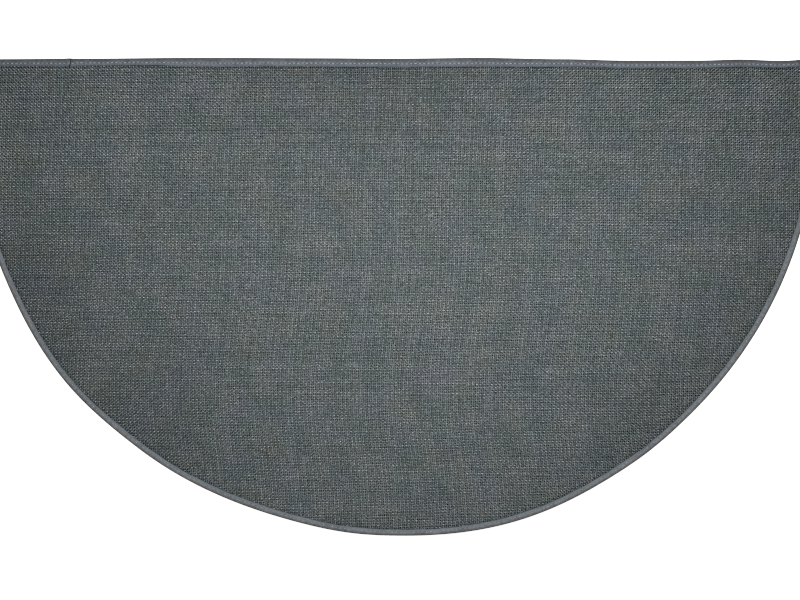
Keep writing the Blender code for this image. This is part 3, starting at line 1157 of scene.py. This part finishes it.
class HEARTHRUG_OT_tape(Operator):
    """Fold the tape round the edge and lap its end"""

    bl_idname = "hearth_rug.tape"
    bl_label = "Bind Edge"

    def execute(self, context):
        tape = context.scene.hearth_rug_tape
        edge = EdgeLine()
        material = tape_material(tape, edge.length / stitch_count(edge, tape))
        stations = STATIONS_PER_STITCH * stitch_count(edge, tape)
        distance = np.arange(stations) * edge.length / stations
        rings, at = tape_rings(edge, tape, distance, 0.0, np.zeros(stations))
        arc = 1 - on_back(edge.place(distance)[1])
        # Painted shade: a dark line on the tape where its turned-in end stops.
        painted_crease_shade = PAINTED_CREASE_SHADE * near_lap(edge, distance, CREASE_PLACE, CREASE_REACH)
        fold = loft("edge_tape_fold", rings, at, painted_crease_shade, arc, True)
        finish_piece(fold, material, "edge_tape", "edge_tape")
        start = lap_distance(edge)
        share = np.linspace(0, 1, LAP_STATIONS) ** 2
        distance = start + LAP_LENGTH * share
        rise = LAP_RISE * (1 - LAP_FALL * smoothstep(share))
        rings, at = tape_rings(edge, tape, distance, LAP_SLANT, rise)
        fray_and_shade = 1 - smoothstep((LAP_LENGTH * share - FRAYED_AND_SHADED_TO) / FRAY_AND_SHADE_FADE)
        lap = loft("tape_lap_end", rings, at, fray_and_shade, np.zeros(LAP_STATIONS), False)
        finish_piece(lap, material, "edge_tape", "edge_tape")
        return {"FINISHED"}


# The stitches and the loose fibres

STITCH_RINGS = (
    # along, as a share of half the length; height in thread widths; size, as a share of the thread's width
    (-1.00, -0.95, 0.55),
    (-0.86, -0.42, 0.90),
    (-0.55, -0.06, 1.00),
    (0.00, 0.04, 1.05),
    (0.55, -0.06, 1.00),
    (0.86, -0.42, 0.90),
    (1.00, -0.95, 0.55),
)
STITCH_SHARE = 0.60
THREAD_SIDES = 7
THREAD_HEIGHT = 0.00645
ARC_THREAD_SINK = 0.00062
THREAD_WEAR = 1.6
THREAD_FLATNESS = 0.62
SEWING_SEED = 58
STITCH_LENGTH_SPREAD = 0.07
STITCH_INSET_SPREAD = 0.00016
STITCH_TURN_SPREAD = 0.05
STITCH_HEIGHT_SPREAD = 0.00006
STITCHED_LAP_LENGTH = 0.012
MAP_CELLS = 24
CELL_MARGIN = 0.08


def thread_material(tape):
    """Light sewing thread with a fine twist."""
    material, tree, shader = cloth_material("sewing thread", 0.6)
    place = object_place(tree)
    tone = stray(tree, noise(tree, place, scale=130.0, detail=2.0)["Fac"], THREAD_WEAR, 1.0)
    tree.links.new(scaled(tree, tuple(tape.thread_colour), tone), shader.inputs["Base Color"])
    settings = {"wave_type": "BANDS", "bands_direction": "DIAGONAL"}
    twist = add_node(tree, "ShaderNodeTexWave", settings, {"Vector": place, "Scale": 700.0})
    add_bump(tree, shader, strength=0.4, distance=0.0001, height=twist.outputs["Fac"])
    return material


def tubes(name, centres, across, up, radius):
    """Closed tubes [tube, ring]: centres, two directions across and radii. Each has its cell of the map."""
    count, rings = radius.shape
    angle = math.tau * np.arange(THREAD_SIDES) / THREAD_SIDES
    circle = np.stack([np.cos(angle), np.sin(angle)], -1)
    sideways = across[:, :, None, :] * circle[:, 0, None] + up[:, :, None, :] * circle[:, 1, None]
    points = centres[:, :, None, :] + radius[..., None, None] * sideways
    ring, side = np.meshgrid(np.arange(rings - 1), np.arange(THREAD_SIDES), indexing="ij")
    side_next = (side + 1) % THREAD_SIDES
    corners = ((ring, side), (ring, side_next), (ring + 1, side_next), (ring + 1, side))
    one = np.stack([at_ring * THREAD_SIDES + at_side for at_ring, at_side in corners], -1).reshape(-1, 4)
    caps = np.array([np.arange(THREAD_SIDES)[::-1], (rings - 1) * THREAD_SIDES + np.arange(THREAD_SIDES)])
    shift = (np.arange(count) * rings * THREAD_SIDES)[:, None, None]
    faces = (one + shift).reshape(-1, 4).tolist() + (caps + shift).reshape(-1, THREAD_SIDES).tolist()
    obj = new_mesh_object(name, points.reshape(-1, 3), faces)
    cell = np.arange(count)
    corner = np.stack([cell % MAP_CELLS, cell // MAP_CELLS], -1)[:, None, None, :]
    along = np.arange(rings)[:, None] / rings
    around = np.abs(1 - 2 * np.arange(THREAD_SIDES) / THREAD_SIDES)
    inside = np.stack(np.broadcast_arrays(along, around), -1)
    spread = ((corner + CELL_MARGIN + (1 - 2 * CELL_MARGIN) * inside) / MAP_CELLS).reshape(-1, 2)
    add_map(obj, BAKE_MAP, spread[corner_vertices(obj)])
    return obj


class HEARTHRUG_OT_stitches(Operator):
    """Sew the row of stitches that holds the tape"""

    bl_idname = "hearth_rug.stitches"
    bl_label = "Sew Stitches"

    def execute(self, context):
        tape = context.scene.hearth_rug_tape
        edge = EdgeLine()
        random = np.random.default_rng(SEWING_SEED)
        rings = np.array(STITCH_RINGS)
        middle = stitch_places(edge, tape)
        count = len(middle)
        length = tape.stitch_length * random.normal(1, STITCH_LENGTH_SPREAD, count)
        along = middle[:, None] + 0.5 * length[:, None] * rings[:, 0]
        inset = STITCH_SHARE * tape_width(edge, tape, middle) + random.normal(0, STITCH_INSET_SPREAD, count)
        turn = random.normal(0, STITCH_TURN_SPREAD, count)
        inset = inset[:, None] + turn[:, None] * (along - middle[:, None])
        points, outward = edge.place(along)
        back = on_back(outward)
        on_lap = np.mod(middle - lap_distance(edge), edge.length) < STITCHED_LAP_LENGTH
        height = THREAD_HEIGHT + tape.thread_width * rings[:, 1] / 2 - ARC_THREAD_SINK * (1 - back)
        height = height + (LAP_RISE * on_lap + random.normal(0, STITCH_HEIGHT_SPREAD, count))[:, None]
        centres = np.concatenate([points - outward * inset[..., None], height[..., None]], -1)
        across = np.concatenate([outward, np.zeros((*outward.shape[:2], 1))], -1)
        up = np.zeros_like(across)
        up[..., 2] = THREAD_FLATNESS
        radius = np.broadcast_to(tape.thread_width / 2 * rings[:, 2], along.shape)
        finish_piece(tubes("tape_stitches", centres, across, up, radius), thread_material(tape), "edge_tape")
        return {"FINISHED"}


# Fibres that stick out from under the tape, and where they come out.
LOOSE_FIBRES = (
    # x_mm, y_mm, reach_mm, bend_mm
    (-560, 344, 1.3, 0.8),
    (-475, 344, 2.2, -1.5),
    (-468, 344, 2.6, 1.2),
    (-464, 344, 2.0, 2.4),
    (-311, 344, 1.4, 1.0),
    (-231, 344, 1.2, -0.7),
    (-151, 344, 1.8, 0.9),
    (178, 344, 1.3, -1.1),
    (342, 343, 1.6, 0.6),
    (407, -187, 2.2, -1.2),
    (76, -343, 1.8, 2.0),
    (-286, -278, 1.5, -0.9),
    (-474, -124, 2.6, 1.6),
    (-513, -68, 2.0, -0.8),
    (-549, -5, 2.2, 1.4),
)
FIBRE_THICKNESS = 0.00026
FIBRE_TOP = 0.0036
FIBRE_START_INSET = 0.0006
FIBRE_DROOP = 1.5
FIBRE_TAPER = 0.6
FIBRE_RINGS = 6
FIBRE_COLOUR = (0.09, 0.09, 0.088)


def fibre_material():
    """Dark dull fibre."""
    material, tree, shader = cloth_material("loose fibre", 0.9)
    shader.inputs["Base Color"].default_value = (*FIBRE_COLOUR, 1.0)
    return material


class HEARTHRUG_OT_fibres(Operator):
    """Leave loose fibres along the edge"""

    bl_idname = "hearth_rug.fibres"
    bl_label = "Add Loose Fibres"

    def execute(self, context):
        edge = EdgeLine()
        x, y, reach, bend = (np.array(LOOSE_FIBRES) / 1000).T
        nearest = np.hypot(edge.points[:, 0] - x[:, None], edge.points[:, 1] - y[:, None]).argmin(1)
        root = edge.points[nearest]
        outward = edge.outward[nearest]
        sideways = np.stack([-outward[:, 1], outward[:, 0]], 1)
        share = np.linspace(0, 1, FIBRE_RINGS)
        out = (reach[:, None] + FIBRE_START_INSET) * share - FIBRE_START_INSET
        aside = bend[:, None] * share**2
        places = root[:, None] + out[..., None] * outward[:, None] + aside[..., None] * sideways[:, None]
        height = np.broadcast_to(FIBRE_TOP * (1 - share) ** FIBRE_DROOP + FIBRE_THICKNESS, out.shape)
        centres = np.concatenate([places, height[..., None]], -1)
        across = np.zeros_like(centres)
        across[..., :2] = sideways[:, None]
        up = np.zeros_like(centres)
        up[..., 2] = 1.0
        radius = np.broadcast_to(FIBRE_THICKNESS / 2 * (1 - FIBRE_TAPER * share**3), out.shape)
        finish_piece(tubes("loose_fibres", centres, across, up, radius), fibre_material(), "edge_tape")
        return {"FINISHED"}


# The floor, the lights and the camera

LIGHTS = (
    # name, place, share of the power
    ("overhead left", (-0.28, 0.10, 0.92), 0.51),
    ("overhead right", (0.42, 0.20, 0.85), 0.48),
)
LIGHT_SIZE = 0.20
ROOM_LIGHT = 0.06
FLOOR_SIZE = 24
FLOOR_TOP = -0.0004
FLOOR_GLOW = 0.85
LENS_MM = 85
SENSOR_MM = 36
PHOTO_WIDTH = 800
MM_PER_PIXEL = 1.44
CAMERA_X = 0.0077
CAMERA_Y = -0.0046


def add_light(name, location, size, power):
    light = bpy.data.lights.new(name, "AREA")
    light.shape = "DISK"
    light.size = size
    light.energy = power
    obj = bpy.data.objects.new(name, light)
    obj.location = location
    obj.rotation_euler = (-Vector(location)).to_track_quat("-Z", "Y").to_euler()
    obj.visible_camera = False
    bpy.context.scene.collection.objects.link(obj)


class HEARTHRUG_OT_stage(Operator):
    """Set up the floor, the lights and the camera"""

    bl_idname = "hearth_rug.stage"
    bl_label = "Set Up Stage"

    def execute(self, context):
        stage = context.scene.hearth_rug_stage
        bpy.ops.object.select_all(action="DESELECT")
        bpy.ops.mesh.primitive_plane_add(size=FLOOR_SIZE, location=(0, 0, FLOOR_TOP))
        floor = context.object
        floor.name = "floor"
        material = bpy.data.materials.new("plain floor")
        material.use_nodes = True
        shader = material.node_tree.nodes["Principled BSDF"]
        shader.inputs["Base Color"].default_value = (*stage.floor_colour, 1.0)
        shader.inputs["Roughness"].default_value = 0.9
        shader.inputs["Emission Color"].default_value = (1, 1, 1, 1)
        shader.inputs["Emission Strength"].default_value = FLOOR_GLOW
        floor.data.materials.append(material)
        world = bpy.data.worlds.new("soft room")
        world.use_nodes = True
        background = world.node_tree.nodes["Background"]
        background.inputs["Color"].default_value = (1, 1, 1, 1)
        background.inputs["Strength"].default_value = ROOM_LIGHT
        context.scene.world = world
        context.scene.view_settings.view_transform = "Standard"
        context.scene.cycles.use_denoising = False
        context.scene.cycles.pixel_filter_type = "BOX"
        for name, place, power_share in LIGHTS:
            add_light(name, place, LIGHT_SIZE, power_share * stage.overhead_power)
        camera = bpy.data.cameras.new("camera")
        camera.lens = LENS_MM
        camera.sensor_width = SENSOR_MM
        view_width = PHOTO_WIDTH * MM_PER_PIXEL / 1000
        height = view_width * camera.lens / camera.sensor_width + RIM_MIDDLE
        camera.clip_end = 50
        obj = bpy.data.objects.new("camera", camera)
        obj.location = (CAMERA_X, CAMERA_Y, height)
        context.scene.collection.objects.link(obj)
        context.scene.camera = obj
        return {"FINISHED"}


class HEARTHRUG_PT_panel(Panel):
    """The rug's settings and the steps that make it."""

    bl_idname = "HEARTHRUG_PT_panel"
    bl_label = "Half Round Hearth Rug"
    bl_space_type = "VIEW_3D"
    bl_region_type = "UI"
    bl_category = "Hearth Rug"

    def draw(self, context):
        scene = context.scene
        for settings, steps in (
            (scene.hearth_rug_cloth, ("ground", "weave")),
            (scene.hearth_rug_tape, ("tape", "stitches", "fibres")),
            (scene.hearth_rug_stage, ("stage",)),
        ):
            box = self.layout.box()
            for name in settings.bl_rna.properties.keys():
                if name not in ("rna_type", "name"):
                    box.prop(settings, name)
            for step in steps:
                box.operator("hearth_rug." + step)


CLASSES = (
    HearthRugCloth,
    HearthRugTape,
    HearthRugStage,
    HEARTHRUG_OT_ground,
    HEARTHRUG_OT_weave,
    HEARTHRUG_OT_tape,
    HEARTHRUG_OT_stitches,
    HEARTHRUG_OT_fibres,
    HEARTHRUG_OT_stage,
    HEARTHRUG_PT_panel,
)


def register():
    for kind in CLASSES:
        bpy.utils.register_class(kind)
    bpy.types.Scene.hearth_rug_cloth = PointerProperty(type=HearthRugCloth)
    bpy.types.Scene.hearth_rug_tape = PointerProperty(type=HearthRugTape)
    bpy.types.Scene.hearth_rug_stage = PointerProperty(type=HearthRugStage)


def unregister():
    del bpy.types.Scene.hearth_rug_stage
    del bpy.types.Scene.hearth_rug_tape
    del bpy.types.Scene.hearth_rug_cloth
    for kind in reversed(CLASSES):
        bpy.utils.unregister_class(kind)


def main():
    register()
    bpy.ops.hearth_rug.ground()
    bpy.ops.hearth_rug.weave()
    bpy.ops.hearth_rug.tape()
    bpy.ops.hearth_rug.stitches()
    bpy.ops.hearth_rug.fibres()
    bpy.ops.hearth_rug.stage()


if __name__ == "__main__":
    main()
